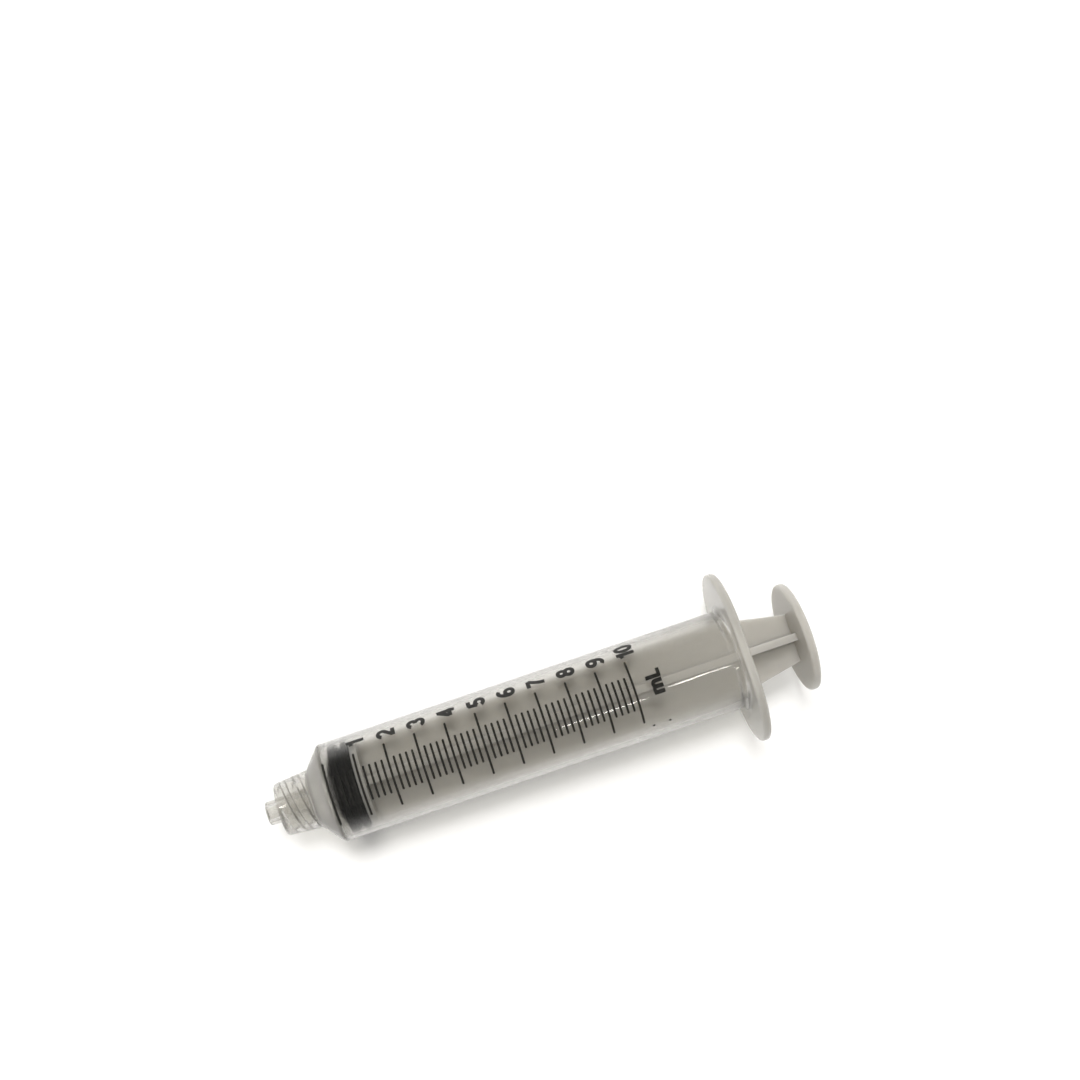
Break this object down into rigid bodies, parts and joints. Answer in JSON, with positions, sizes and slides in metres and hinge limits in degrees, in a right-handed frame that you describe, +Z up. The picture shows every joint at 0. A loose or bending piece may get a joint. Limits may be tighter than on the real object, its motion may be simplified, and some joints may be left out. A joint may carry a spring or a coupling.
{
  "type": "luer lock syringe",
  "caption": "Clear plastic ten millilitre syringe lying on its side, with a lock collar around a tapered nozzle, a finger flange with round ends, a cross-vaned plunger and a black rubber stopper.",
  "frame": {"origin": "on the table the syringe lies on, under the middle of its length", "axes": "+X along the syringe from the nozzle towards the thumb disc, level; +Y along the flange's long side; +Z up. The barrel's axis rises 1.5 degrees towards the thumb disc, because the syringe lies on the flange's edge and on the barrel's shoulder"},
  "size_m": [0.0966, 0.0302, 0.0209],
  "materials": {
    "clear_plastic": "gloss",
    "black_rubber": "satin",
    "milky_plastic": "satin"
  },
  "bodies": {
    "barrel": {"barrel": "clear_plastic"},
    "stopper": {"stopper": "black_rubber"},
    "plunger": {"plunger_rod": "milky_plastic"}
  },
  "joints": [
    {"name": "plunger_slide", "type": "slide", "parent": "barrel", "child": "stopper", "axis": [0.9996, 0, 0.0265], "range_m": [-0.00106, 0.0661]},
    {"name": "rod_turn", "type": "hinge", "parent": "stopper", "child": "plunger", "pos_m": [-0.03528, 0, 0.00854], "axis": [0.9996, 0, 0.0265], "continuous": true}
  ]
}
